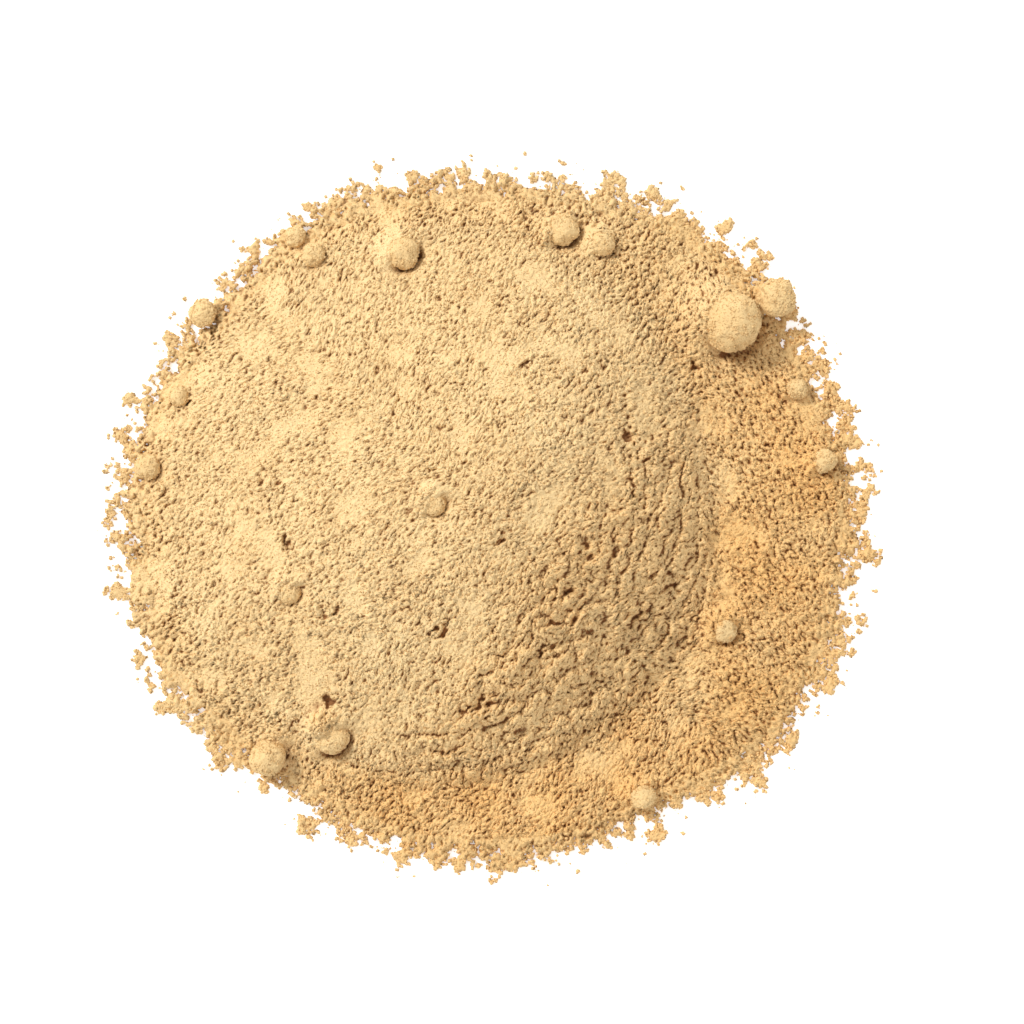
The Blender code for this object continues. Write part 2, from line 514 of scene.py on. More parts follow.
        clods = np.abs(self._leaning(warped, self.clod_size, 3))
        crumbs = np.abs(self._leaning(warped, self.crumb_size, 5))
        dust = np.abs(self._leaning(plan + 0.4 * bend, self.dust_size, 8))
        rise = self.swell * noise_at(plan, self.swell_size, 9)
        rise += rough * self.clods * (0.45 + 0.55 * steep) * np.minimum(clods, self.clod_cap)
        rise += rough * (self.crumb * np.minimum(crumbs, self.crumb_cap) + self.dust * dust)
        rise += steep * self.step_rise * self._steps(warped)

        holes = smoothstep(0.15, 0.42, self._leaning(warped, self.pit_size, 12))
        holes *= smoothstep(-0.2, 0.3, noise_at(plan, self.pit_patch, 13))
        holes *= (0.8 + 0.2 * steep) * (1 - 0.6 * pressed)
        specks = smoothstep(0.15, 0.38, self._leaning(plan, self.speck_size, 14)) * (1 - 0.55 * pressed)
        specks *= 1 + 0.5 * thin
        rise -= self.pit * (0.7 * holes + 0.42 * specks)
        return rise + self._places_of_note(x, y, plan)

    def _places_of_note(self, x: np.ndarray, y: np.ndarray, plan: np.ndarray) -> np.ndarray:
        """The larger pits, cracks and ridges, and the banks round the caked lumps.

        Args:
            x: First coordinate of the plan.
            y: Second coordinate.
            plan: The same places, in rows of three.

        Returns:
            Heights to add.
        """
        rise = np.zeros(len(plan))
        wander = layers_at(plan, self.outlines, 15)
        broken = smoothstep(-0.35, 0.2, noise_at(plan, self.gap_size, 17))
        for spot in self.pits:
            rise += spot.rise * MM * spot.share(x, y, wander) * broken
        for spot in self.knolls:
            rise += spot.rise * MM * spot.share(x, y, wander)
        out = np.hypot(x, y) - self.form.rim(np.arctan2(y, x))
        inside = smoothstep(-0.5 * MM, -5 * MM, out)  # a bank is low near the rim
        for seat in self.seats:
            rise += seat.rise(x, y) * (0.15 + 0.85 * inside)
        return rise

    def _steps(self, warped: np.ndarray) -> np.ndarray:
        """Broken steps that run along the flank, where powder has slid.

        Args:
            warped: Places of the plan, already bent by noise.

        Returns:
            0 in the furrow between two steps, 1 on a step.
        """
        east, north = warped[:, 0] - self.centre[0], warped[:, 1] - self.centre[1]
        out, turn = np.hypot(east, north), np.arctan2(north, east)
        along = flat_points(out / self.step_run, turn * self.flank / self.step_length)
        return np.clip(1.9 * np.abs(noise_at(along, 1.0, 4)), 0, 1) ** 0.8


@dataclass
class PowderSurface:
    """The heap's surface on a square grid that is bent into a disc, and the four wedges made of it."""

    form: PowderForm
    relief: Relief
    cells: int = 290  # a side of each wedge
    ragged: float = 0.5 * MM  # how far the rim wanders in and out
    rim_waves: Layers = ((4.5 * MM, 1.0), (1.7 * MM, 0.7), (0.8 * MM, 0.45))
    drawn_in: float = 1.25 * MM  # the body ends this far inside the rim; loose powder goes on
    edge_sharpness: float = 260.0  # the higher, the narrower the band in which the rim drops
    floor_gap: float = 0.02 * MM
    warm_from: float = 3.4 * MM  # powder lower than this looks warmer
    warm_to: float = 1.6 * MM
    warm_side: tuple[float, float] = (-5.0 * MM, 22.0 * MM)  # towards the steep side, from the middle
    warm_patch: float = 6.0 * MM
    # painted warm shade tint on the steep flank, which faces away from the sun
    flank_shade_tint: float = 0.3
    fine_shade_spread: float = 1.6  # cells
    broad_shade_spread: float = 5.5

    def __post_init__(self) -> None:
        """Works out every place, normal and mark of the grid."""
        across = np.linspace(-1, 1, 2 * self.cells + 1)
        a, b = np.meshgrid(across, across, indexing="ij")
        wide = np.abs(a) > np.abs(b)
        out = np.where(wide, a, b)
        safe = np.where(out == 0, 1.0, out)
        turn = np.where(wide, math.pi / 4 * b / safe, math.pi / 2 - math.pi / 4 * a / safe)
        turn = np.arctan2(out * np.sin(turn), out * np.cos(turn))
        share = np.abs(out)
        reach = self.rim(turn.ravel()).reshape(share.shape) - self.drawn_in
        x, y = share * reach * np.cos(turn), share * reach * np.sin(turn)
        smooth = self.form.height(x.ravel(), y.ravel()).reshape(x.shape)
        rise = self.relief.at(x.ravel(), y.ravel()).reshape(x.shape)
        edge = np.sqrt(np.clip(1 - share**self.edge_sharpness, 0, 1))
        z = np.maximum((smooth + rise) * edge, self.floor_gap)
        self.places = np.stack([x, y, z], axis=2)
        down, right = np.gradient(self.places, axis=0), np.gradient(self.places, axis=1)
        normals = np.cross(down, right)
        self.normals = normals / np.linalg.norm(normals, axis=2)[..., None]
        self.marks = {
            Mark.PAINTED_HOLLOW_SHADE: self._hollow_shade(rise),
            Mark.WARMTH: self._warmth(smooth, x, y),
            Mark.TINT: np.full(x.shape, 0.5),
        }

    def rim(self, turn: np.ndarray) -> np.ndarray:
        """Distance to the ragged rim.

        Args:
            turn: Directions from the centre.

        Returns:
            One distance a direction.
        """
        round_it = flat_points(np.cos(turn), np.sin(turn)) * self.form.rim(0.0)
        wander = layers_at(round_it, self.rim_waves, 31)
        return self.form.rim(turn) + self.ragged * (wander - 0.25)

    def _hollow_shade(self, rise: np.ndarray) -> np.ndarray:
        """Painted shade for pits and cracks: how far each place lies below what is round it.

        Args:
            rise: Relief over the smooth form.

        Returns:
            0 on the open surface to 1 low in a pit or a crack, where the painted shade is darkest.
        """
        # painted shade: the further a place lies below what is round it, the darker its colour
        fine = blurred(rise, self.fine_shade_spread) - rise
        broad = blurred(rise, self.broad_shade_spread) - rise
        painted_shade = smoothstep(0.4, 2.2, fine / fine.std()) + smoothstep(0.7, 2.8, broad / broad.std())
        return np.clip(painted_shade, 0, 1)

    def _warmth(self, height: np.ndarray, x: np.ndarray, y: np.ndarray) -> np.ndarray:
        """Where thin powder on the steep side's apron looks more orange, plus painted warm shade on the
        steep flank.

        Args:
            height: Height of the smooth powder.
            x: First coordinate of the plan.
            y: Second coordinate.

        Returns:
            0 to 1, one value a place.
        """
        thin = smoothstep(self.warm_from, self.warm_to, height)
        side = smoothstep(*self.warm_side, x * math.cos(STEEP_SIDE) + y * math.sin(STEEP_SIDE))
        patch = noise_at(flat_points(x.ravel(), y.ravel()), self.warm_patch, 35).reshape(x.shape)
        # painted warm shade: the steep flank, facing away from the sun, gets a warmer tint
        steep = self.relief.steep(x, y) * self.flank_shade_tint
        return np.clip(thin * (0.25 + 0.75 * side) * (0.75 + 0.5 * patch) + steep * (1 - thin), 0, 1)

    def build(self, finish: bpy.types.Material) -> list[bpy.types.Object]:
        """Makes the four wedges, which together stand for the frame's heap.

        Args:
            finish: Their material.

        Returns:
            The pieces.
        """
        pieces = []
        for index, (i, j) in enumerate(((0, 0), (1, 0), (1, 1), (0, 1)), 1):
            part = tuple(slice(k * self.cells, (k + 1) * self.cells + 1) for k in (i, j))
            name = f"powder_{index}"
            piece = add_piece(name, self._wedge(name, part), finish)
            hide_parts(HEAP_NODE)
            pieces.append(piece)
        return pieces

    def _wedge(self, name: str, part: tuple[slice, slice]) -> bpy.types.Mesh:
        """One wedge, closed down to the table.

        Args:
            name: Name of the mesh.
            part: Rows and columns of the grid that it takes.

        Returns:
            The mesh, with the normals of the whole surface, so that no seam shows.
        """
        sheet = bmesh.new()
        bmesh.ops.create_grid(sheet, x_segments=self.cells, y_segments=self.cells, size=1.0)
        rows = np.array([vert.co.xy for vert in sheet.verts])
        cell = np.rint((rows + 1) / 2 * self.cells).astype(int)
        pick = tuple(cell.T)
        places, normals = self.places[part][pick], self.normals[part][pick]
        for vert, place in zip(sheet.verts, places.tolist()):
            vert.co = place
        top = len(sheet.verts)
        rim = [edge for edge in sheet.edges if edge.is_boundary]
        walls = bmesh.ops.extrude_edge_only(sheet, edges=rim)["geom"]
        for vert in (item for item in walls if isinstance(item, bmesh.types.BMVert)):
            vert.co.z = 0.0
        bmesh.ops.holes_fill(sheet, edges=[edge for edge in sheet.edges if edge.is_boundary], sides=0)
        bmesh.ops.recalc_face_normals(sheet, faces=sheet.faces[:])
        mesh = bpy.data.meshes.new(name)
        sheet.to_mesh(mesh)
        below = len(sheet.verts) - top
        sheet.free()
        for mark, values in self.marks.items():
            write_mark(mesh, mark, np.concatenate([values[part][pick], np.zeros(below)]))
        down = np.tile((0.0, 0.0, -1.0), (below, 1))
        mesh.shade_smooth()
        mesh.normals_split_custom_set_from_vertices(np.concatenate([normals, down]).tolist())
        return mesh

    def strewn(self, draw: np.random.Generator, count: int) -> tuple[np.ndarray, np.ndarray, dict]:
        """Random places on the surface.

        Args:
            draw: Where the random numbers come from.
            count: How many places.

        Returns:
            The places, the normals there and the marks there.
        """
        at = draw.random((count, 2)) * 2 * self.cells * (1 - 1e-9)
        corner, share = at.astype(int), at % 1
        weights = [
            ((0, 0), (1 - share[:, 0]) * (1 - share[:, 1])),
            ((1, 0), share[:, 0] * (1 - share[:, 1])),
            ((0, 1), (1 - share[:, 0]) * share[:, 1]),
            ((1, 1), share[:, 0] * share[:, 1]),
        ]
        blend = [(corner[:, 0] + i, corner[:, 1] + j, weight) for (i, j), weight in weights]
        places = sum(self.places[i, j] * weight[:, None] for i, j, weight in blend)
        normals = sum(self.normals[i, j] * weight[:, None] for i, j, weight in blend)
        marks = {mark: sum(v[i, j] * weight for i, j, weight in blend) for mark, v in self.marks.items()}
        return places, normals, marks


@dataclass
class GrainKit:
    """A few uneven grains, each a coarse ball pushed in and out, that strewing copies."""

    kinds: int = 10
    unevenness: float = 0.42
    stretch: tuple[float, float] = (0.72, 1.25)  # least and most
    corners: np.ndarray = field(init=False)
    faces: np.ndarray = field(init=False)

    def __post_init__(self) -> None:
        """Makes every kind of grain."""
        shapes = []
        for kind in range(self.kinds):
            ball = bmesh.new()
            bmesh.ops.create_icosphere(ball, subdivisions=1, radius=1.0)
            for vert in ball.verts:
                vert.co *= 1 + self.unevenness * noise.noise(vert.co * 1.7 + Vector((kind * 7.7, 0, 3.1)))
            shapes.append([vert.co[:] for vert in ball.verts])
            faces = [[vert.index for vert in face.verts] for face in ball.faces]
            ball.free()
        self.corners, self.faces = np.array(shapes), np.array(faces)

    def strewn(
        self, name: str, places: np.ndarray, sizes: np.ndarray, marks: dict[Mark, np.ndarray], seed: int
    ) -> bpy.types.Mesh:
        """One mesh of many grains, each turned and stretched its own way.

        Args:
            name: Name of the mesh.
            places: Centre of each grain.
            sizes: Radius of each grain.
            marks: The marks, one number a grain.
            seed: Seed of the turns and stretches.

        Returns:
            The mesh, with its marks.
        """
        draw = np.random.default_rng(seed)
        count = len(places)
        stretch = draw.uniform(*self.stretch, (count, 1, 3)) * sizes[:, None, None]
        grains = self.corners[draw.integers(0, self.kinds, count)] * stretch
        grains = np.einsum("gij,gcj->gci", self._turns(draw, count), grains) + places[:, None]
        per_grain = self.corners.shape[1]
        faces = self.faces[None] + per_grain * np.arange(count)[:, None, None]
        mesh = bpy.data.meshes.new(name)
        mesh.from_pydata(grains.reshape(-1, 3), [], faces.reshape(-1, 3))
        for mark, values in marks.items():
            write_mark(mesh, mark, np.repeat(values, per_grain))
        return mesh

    @staticmethod
    def _turns(draw: np.random.Generator, count: int) -> np.ndarray:
        """Random turns, one matrix of three by three each.

        Args:
            draw: Where the random numbers come from.
            count: How many turns.

        Returns:
            The matrices.
        """
        w, x, y, z = to_length_one(draw.normal(size=(4, count)))
        rows = [
            [1 - 2 * (y * y + z * z), 2 * (x * y - w * z), 2 * (x * z + w * y)],
            [2 * (x * y + w * z), 1 - 2 * (x * x + z * z), 2 * (y * z - w * x)],
            [2 * (x * z - w * y), 2 * (y * z + w * x), 1 - 2 * (x * x + y * y)],
        ]
        return np.moveaxis(np.array(rows), 2, 0)


def to_length_one(parts: np.ndarray) -> np.ndarray:
    """The columns scaled to length 1."""
    return parts / np.linalg.norm(parts, axis=0)


def grain_tints(draw: np.random.Generator, mean: float, count: int) -> np.ndarray:
    """A paleness for each grain, spread round the mean and held from 0 to 1."""
    return np.clip(draw.normal(mean, 0.22, count), 0, 1)


@dataclass
class SurfaceGrains:
    """The fine grains that lie on the powder, in several layers."""

    surface: PowderSurface
    kit: GrainKit
    layers: int = 2
    per_layer: int = 9400
    smallest: float = 0.07 * MM  # radius
    largest: float = 0.2 * MM
    few_large: float = 3.0  # the higher, the fewer large grains
    sunk: float = 0.5  # of the radius
    lift: float = 1.3  # of the radius, the least height of a grain's middle over the table

    def build(self, finish: bpy.types.Material) -> list[bpy.types.Object]:
        """Strews every layer.

        Args:
            finish: Material of the grains.

        Returns:
            The pieces.
        """
        return [self._layer(index, finish) for index in range(1, self.layers + 1)]

    def _layer(self, index: int, finish: bpy.types.Material) -> bpy.types.Object:
        """One layer of grains.

        Args:
            index: Which layer, from 1.
            finish: Material of the grains.

        Returns:
            The piece.
        """
        draw = np.random.default_rng(100 + index)
        places, normals, marks = self.surface.strewn(draw, 3 * self.per_layer)
        bare = self.surface.relief.pressed(places[:, 0], places[:, 1])
        wanted = draw.random(len(places)) < (1 - 0.7 * bare) * (1 - marks[Mark.PAINTED_HOLLOW_SHADE])
        chosen = np.flatnonzero(wanted)[: self.per_layer]
        places, normals = places[chosen], normals[chosen]
        span = self.largest - self.smallest
        sizes = self.smallest + span * draw.random(len(chosen)) ** self.few_large
        places += normals * (sizes * (1 - self.sunk - 0.6 * draw.random(len(chosen))))[:, None]
        places[:, 2] = np.maximum(places[:, 2], self.lift * sizes)
        # the grains take on the painted shade and the warmth of the surface under them
        grain_marks = {mark: marks[mark][chosen] for mark in (Mark.PAINTED_HOLLOW_SHADE, Mark.WARMTH)}
        grain_marks[Mark.TINT] = grain_tints(draw, 0.5, len(chosen))
        name = f"grains_{index}"
        mesh = self.kit.strewn(name, places, sizes, grain_marks, 200 + index)
        return add_piece(name, mesh, finish)


@dataclass
class CakedLump:
    """One ball of caked powder, where the frame has it."""

    node: str
    index: int
    large: float = 1.6 * MM  # radius from which a lump gets finer faces
    bulge: float = 0.17  # of the radius
    crust: float = 0.07 * MM
    crust_size: float = 0.42 * MM
    grit_size: float = 0.2 * MM
    pit: float = 0.06 * MM
    pit_size: float = 0.3 * MM
    flattening: float = 0.8  # of the upper half's height
    subdivisions: tuple[int, int] = (5, 6)  # of a small and of a large lump's ball
    tint: float = 0.62
    warmth: float = 0.12

    def build(self, finish: bpy.types.Material) -> bpy.types.Object:
        """Makes the lump and replaces the frame's.

        Args:
            finish: Its material.

        Returns:
            The piece.
        """
        centre, radius = ball_of(self.node)
        ball = bmesh.new()
        fineness = self.subdivisions[radius > self.large]
        bmesh.ops.create_icosphere(ball, subdivisions=fineness, radius=radius)
        mesh = bpy.data.meshes.new(self.node)
        ball.to_mesh(mesh)
        ball.free()
        points = read_places(mesh)
        grown, pits = self._growth(points, radius)
        points = points * grown[:, None]
        points[:, 2] = np.where(points[:, 2] > 0, points[:, 2] * self.flattening, points[:, 2])
        points += np.array(centre)
        mesh.vertices.foreach_set("co", points.astype(np.float32).ravel())
        mesh.update()
        # painted shade in the lump's pits
        write_mark(mesh, Mark.PAINTED_HOLLOW_SHADE, np.clip(0.5 * pits, 0, 1))
        write_mark(mesh, Mark.TINT, np.full(len(points), self.tint))
        write_mark(mesh, Mark.WARMTH, np.full(len(points), self.warmth))
        piece = add_piece(self.node.replace("lump", "caked_lump"), mesh, finish)
        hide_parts(self.node)
        return piece

    def _growth(self, points: np.ndarray, radius: float) -> tuple[np.ndarray, np.ndarray]:
        """How much each place of the ball is pushed out, and where its pits are.

        Args:
            points: Places on the ball.
            radius: The ball's radius.

        Returns:
            The growth, 1 for none, and the pits, 0 to 1.
        """
        grown = 1 + self.bulge * noise_at(points, 0.9 * radius, self.index)
        grown += 0.45 * self.bulge * noise_at(points, 0.35 * radius, self.index + 40)
        rough = 0.5 + 1.3 * smoothstep(-0.1, 0.4, noise_at(points, 1.1 * radius, self.index + 80))
        crust = billows_at(points, self.crust_size, self.index + 60) - 0.5
        grit = noise_at(points, self.grit_size, self.index + 70)
        pits = smoothstep(0.22, 0.45, noise_at(points, self.pit_size, self.index + 90))
        pits *= np.minimum(rough, 1)
        grown += (self.crust * rough * (1.3 * crust + 0.7 * grit) - self.pit * pits) / radius
        return grown, pits


@dataclass
class LumpGrains:
    """Grains that stick to the caked lumps, most of them round the foot."""

    kit: GrainKit
    per_area: float = 13.0 / MM**2
    smallest: float = 0.07 * MM  # radius
    largest: float = 0.19 * MM
    few_large: float = 2.4  # the higher, the fewer large grains
    warmth: float = 0.15

    def build(self, finish: bpy.types.Material) -> bpy.types.Object:
        """Strews the grains over every lump.

        Args:
            finish: Their material.

        Returns:
            The piece.
        """
        draw = np.random.default_rng(71)
        places, sizes = [], []
        for index, seat in enumerate(lump_seats(), 1):
            count = round(self.per_area * 4 * math.pi * seat.radius**2)
            way = to_length_one(draw.normal(size=(3, count))).T
            bulge = noise_at(way * seat.radius, 0.9 * seat.radius, index)
            spots = way * seat.radius * (1 + CakedLump.bulge * bulge)[:, None]
            spots[:, 2] *= np.where(spots[:, 2] > 0, CakedLump.flattening, 1)
            size = self.smallest + (self.largest - self.smallest) * draw.random(count) ** self.few_large
            wanted = smoothstep(1.1, -0.2, way[:, 2]) + 0.25 + noise_at(spots, 0.6 * seat.radius, index + 9)
            keep = (draw.random(count) < wanted) & (spots[:, 2] > -0.6 * seat.radius)
            places.append((spots + np.array(seat.centre))[keep])
            sizes.append(size[keep])
        places, sizes = np.concatenate(places), np.concatenate(sizes)
        count = len(places)
        marks = {
            Mark.TINT: grain_tints(draw, 0.4, count),
            Mark.WARMTH: np.full(count, self.warmth),
            Mark.PAINTED_HOLLOW_SHADE: np.zeros(count),
        }
        mesh = self.kit.strewn("lump_grains", places, sizes, marks, 72)
        return add_piece("lump_grains", mesh, finish)


@dataclass
class Lace:
    """Where loose powder lies beyond the heap's body, in islands with bare table between them."""

    surface: PowderSurface
    inner: float = -2.3 * MM  # from the rim outwards
    outer: float = 4.6 * MM
    islands: Layers = ((1.7 * MM, 1.0), (0.8 * MM, 0.7), (0.33 * MM, 0.75))
    usual_spread: float = 1.9 * MM
    spread_wave: float = 9.0 * MM
    rim_radius: float = 42.0 * MM
    warm_side: tuple[float, float] = (-20.0 * MM, 25.0 * MM)  # towards the steep side, from the middle
    steps_out: tuple[float, ...] = (-1.0, -0.45, 0.0, 0.5, 1.0, 1.5)  # of the spread, from the rim
    bareness: tuple[float, ...] = (-2.0, -0.66, -0.2, 0.1, 0.42, 1.0)  # the higher, the more table shows

    def spread(self, turn: np.ndarray) -> np.ndarray:
        """How far out the loose powder reaches: most on the right, the upper right and the far left.

        Args:
            turn: Directions from the centre.

        Returns:
            One distance a direction.
        """
        right = np.clip(np.cos(turn - math.radians(14)), 0, 1) ** 4
        left = np.clip(np.cos(turn - math.radians(182)), 0, 1) ** 5
        round_it = flat_points(np.cos(turn), np.sin(turn)) * self.rim_radius
        wander = noise_at(round_it, self.spread_wave, 41)
        return self.usual_spread + MM * (1.3 * right + 0.6 * left + 1.1 * wander)

    def warmth(self, x: np.ndarray, y: np.ndarray) -> np.ndarray:
        """How orange the loose powder looks: most on the steep side."""
        side = smoothstep(*self.warm_side, x * math.cos(STEEP_SIDE) + y * math.sin(STEEP_SIDE))
        return 0.22 + 0.36 * side

    def cover(self, x: np.ndarray, y: np.ndarray) -> np.ndarray:
        """How surely powder covers a place.

        Args:
            x: First coordinate of the plan.
            y: Second coordinate.

        Returns:
            Above 0 where powder lies; the higher, the further inside an island.
        """
        plan, turn = flat_points(x, y), np.arctan2(y, x)
        out = (np.hypot(x, y) - self.surface.form.rim(turn)) / self.spread(turn)
        islands = layers_at(plan, self.islands, 42)
        cover = islands - np.interp(out, self.steps_out, self.bareness)
        near = np.full(len(x), -1.0)
        for node in CRUMB_NODES:
            low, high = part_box(node)
            middle, reach = (low + high) / 2, (high - low).xy.length / 2.8
            near = np.maximum(near, 1 - np.hypot(x - middle.x, y - middle.y) / reach)
        return np.maximum(cover, 0.8 * near + 0.9 * islands - 0.1)


@dataclass
class LooseCrust:
    """The islands of loose powder round the heap, as closed bodies with crumbly tops."""

    lace: Lace
    long_cells: int = 1640
    cross_cells: int = 40
    thin: float = 0.3 * MM  # height of the outer islands
    sunk: float = 0.3 * MM  # how far it starts below the body's surface
    shake: float = 0.05 * MM  # moves the corners so that outlines don't follow the grid
    shake_size: float = 0.25 * MM
    least_cover: float = 0.04
    least_height: float = 0.05 * MM

    def build(self, finish: bpy.types.Material) -> bpy.types.Object:
        """Makes the islands as one piece.

        Args:
            finish: Their material.

        Returns:
            The piece.
        """
        ring = bmesh.new()
        layer = ring.verts.layers.float.new("cover")
        self._bend_ring(ring, layer)
        bmesh.ops.remove_doubles(ring, verts=[vert for vert in ring.verts if vert.is_boundary], dist=1e-7)
        bare = [face for face in ring.faces if max(vert[layer] for vert in face.verts) < self.least_cover]
        bmesh.ops.delete(ring, geom=bare, context="FACES")
        raised = bmesh.ops.extrude_face_region(ring, geom=ring.faces[:], use_keep_orig=True)["geom"]
        tops = [item for item in raised if isinstance(item, bmesh.types.BMVert)]
        places = np.array([vert.co[:] for vert in tops])
        cover = np.array([vert[layer] for vert in tops])
        for vert, height in zip(tops, self._heights(places[:, 0], places[:, 1], cover).tolist()):
            vert.co.z = height
        bmesh.ops.recalc_face_normals(ring, faces=ring.faces[:])
        mesh = bpy.data.meshes.new("loose_crust")
        ring.to_mesh(mesh)
        ring.free()
        mesh.attributes.remove(mesh.attributes["cover"])
        self._mark(mesh)
        piece = add_piece("loose_crust", mesh, finish)
        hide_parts(*CRUMB_NODES)
        return piece

    def _bend_ring(self, ring: bmesh.types.BMesh, layer: bmesh.types.BMLayerItem) -> None:
        """Lays a fine grid round the heap's rim and notes how surely powder covers each corner.

        Args:
            ring: An empty shape that gets the grid.
            layer: Where each corner keeps its cover.
        """
        bmesh.ops.create_grid(ring, x_segments=self.long_cells, y_segments=self.cross_cells, size=0.5)
        flat = np.array([vert.co.xy for vert in ring.verts])
        turn = flat[:, 0] * 2 * math.pi
        across = self.lace.inner + (flat[:, 1] + 0.5) * (self.lace.outer - self.lace.inner)
        reach = self.lace.surface.form.rim(turn) + across
        x, y = reach * np.cos(turn), reach * np.sin(turn)
        plan = flat_points(x, y)
        x = x + self.shake * noise_at(plan, self.shake_size, 61)
        y = y + self.shake * noise_at(plan, self.shake_size, 62)
        cover = self.lace.cover(x, y)
        for vert, place, value in zip(ring.verts, flat_points(x, y).tolist(), cover.tolist()):
            vert.co = place
            vert[layer] = value

    def _heights(self, x: np.ndarray, y: np.ndarray, cover: np.ndarray) -> np.ndarray:
        """Height of the islands' tops.

        Args:
            x: First coordinate of the plan.
            y: Second coordinate.
            cover: How far inside an island each place is.

        Returns:
            Heights over the table.
        """
        form, relief = self.lace.surface.form, self.lace.surface.relief
        out = np.hypot(x, y) - form.rim(np.arctan2(y, x))
        thinner = smoothstep(-0.8 * MM, 2.4 * MM, out)
        sunk = self.sunk * smoothstep(-1.2 * MM, self.lace.inner, out)
        base = (form.height(x, y) - sunk) * (1 - thinner) + self.thin * thinner
        base *= 0.25 + 0.75 * smoothstep(0.0, 0.3, cover)
        return np.maximum(base + relief.at(x, y) * (1 - 0.35 * thinner), self.least_height)

    def _mark(self, mesh: bpy.types.Mesh) -> None:
        """Gives the mesh its marks.

        Args:
            mesh: The islands' mesh.
        """
        places = read_places(mesh)
        x, y = places[:, 0], places[:, 1]
        rise = self.lace.surface.relief.at(x, y)
        # painted shade: the lowest places of the islands' tops get darker
        write_mark(mesh, Mark.PAINTED_HOLLOW_SHADE, smoothstep(*np.percentile(rise, (30, 2)), rise) * 0.8)
        write_mark(mesh, Mark.WARMTH, self.lace.warmth(x, y))
        write_mark(mesh, Mark.TINT, np.full(len(x), 0.5))


@dataclass
class LooseGrains:
    """Single grains that make the islands' outlines ragged, and a few strays."""

    lace: Lace
    kit: GrainKit
    pieces: int = 2
    per_piece: int = 9400
    tries: int = 7  # places tried for every grain that is kept
    smallest: float = 0.07 * MM  # radius
    largest: float = 0.22 * MM
    few_large: float = 2.2  # the higher, the fewer large grains
    few_far: float = 1.2  # the higher, the fewer grains far out
    lift: float = 1.35  # of the radius, the least height of a grain's middle over the table
    piled: float = 0.6 * MM  # how high they lie on the islands
    stray_share: float = 0.008

    def build(self, finish: bpy.types.Material) -> list[bpy.types.Object]:
        """Strews the grains.

        Args:
            finish: Their material.

        Returns:
            The pieces.
        """
        return [self._strew(index, finish) for index in range(1, self.pieces + 1)]

    def _strew(self, index: int, finish: bpy.types.Material) -> bpy.types.Object:
        """One piece of loose grains.

        Args:
            index: Which piece, from 1.
            finish: Material of the grains.

        Returns:
            The piece.
        """
        draw = np.random.default_rng(300 + index)
        tries = self.tries * self.per_piece
        turn = draw.uniform(-math.pi, math.pi, tries)
        nearest = 0.35 * self.lace.inner
        out = nearest + (self.lace.outer - nearest) * draw.random(tries) ** self.few_far
        reach = self.lace.surface.form.rim(turn) + out
        x, y = reach * np.cos(turn), reach * np.sin(turn)
        cover = self.lace.cover(x, y)
        keep = (cover > -0.1) & (draw.random(tries) < smoothstep(0.55, 0.0, cover) + 0.12)
        stray = draw.random(tries) < self.stray_share * smoothstep(self.lace.outer, 0.0, out)
        chosen = np.flatnonzero(keep | stray)[: self.per_piece]
        count = len(chosen)
        sizes = self.smallest + (self.largest - self.smallest) * draw.random(count) ** self.few_large
        piled = smoothstep(0.0, 0.5, cover[chosen]) * smoothstep(3 * MM, 0.0, out[chosen])
        z = self.lift * sizes + self.piled * piled * draw.random(count)
        places = np.stack([x[chosen], y[chosen], z], 1)
        marks = {
            Mark.TINT: grain_tints(draw, 0.5, count),
            Mark.WARMTH: self.lace.warmth(x[chosen], y[chosen]),
            Mark.PAINTED_HOLLOW_SHADE: np.zeros(count),
        }
        name = f"loose_grains_{index}"
        mesh = self.kit.strewn(name, places, sizes, marks, 310 + index)
        return add_piece(name, mesh, finish)


